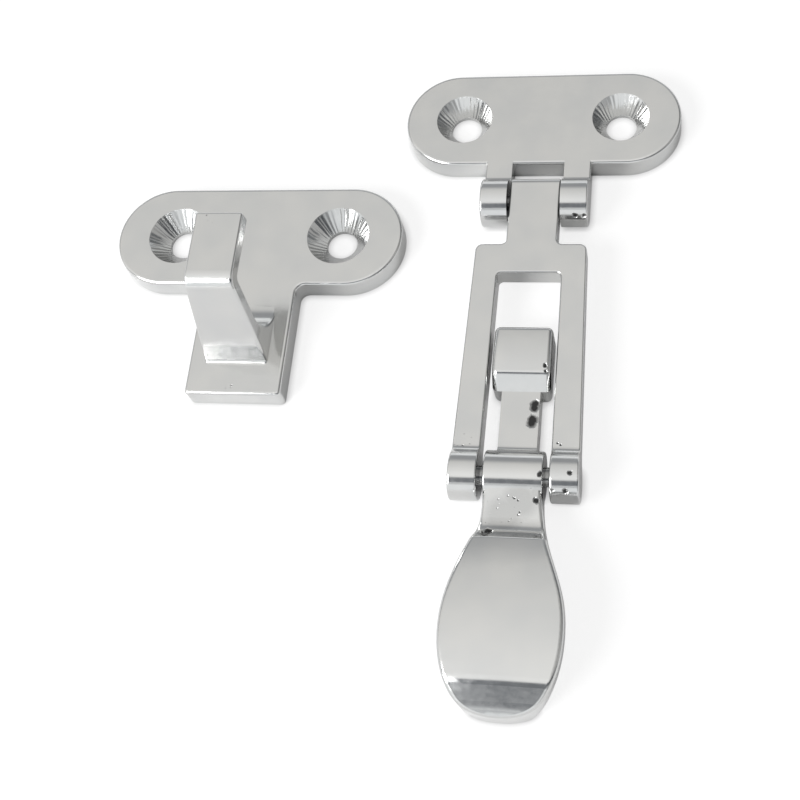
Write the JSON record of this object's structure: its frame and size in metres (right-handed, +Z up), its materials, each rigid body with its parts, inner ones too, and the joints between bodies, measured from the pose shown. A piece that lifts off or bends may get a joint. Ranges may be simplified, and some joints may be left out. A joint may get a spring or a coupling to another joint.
{
  "type": "over centre toggle latch",
  "caption": "Over-centre toggle latch in two halves: a screw-down plate with a hinged link and clawed thumb lever, and a hooked keeper plate.",
  "frame": {"origin": "on the mounting surface, midway between the two screw holes of the base plate", "axes": "+X along the hinge pins and the row of base plate screws, +Y from the lever towards the base plate, +Z up out of the mounting surface"},
  "size_m": [0.1018, 0.1173, 0.0228],
  "materials": {
    "cast_stainless": "polished",
    "pin_stainless": "polished"
  },
  "bodies": {
    "root": {"base_plate": "cast_stainless", "hinge_pin": "pin_stainless", "keeper": "cast_stainless"},
    "link_body": {"link": "cast_stainless", "lever_pin": "pin_stainless"},
    "lever_body": {"lever": "cast_stainless"}
  },
  "joints": [
    {"name": "link_hinge", "type": "hinge", "parent": "root", "child": "link_body", "pos_m": [0, -0.018, 0.0042], "axis": [-1, 0, 0], "range_deg": [0, 150]},
    {"name": "lever_pivot", "type": "hinge", "parent": "link_body", "child": "lever_body", "pos_m": [0, -0.0691, 0.0042], "axis": [-1, 0, 0], "range_deg": [0, 135]}
  ]
}
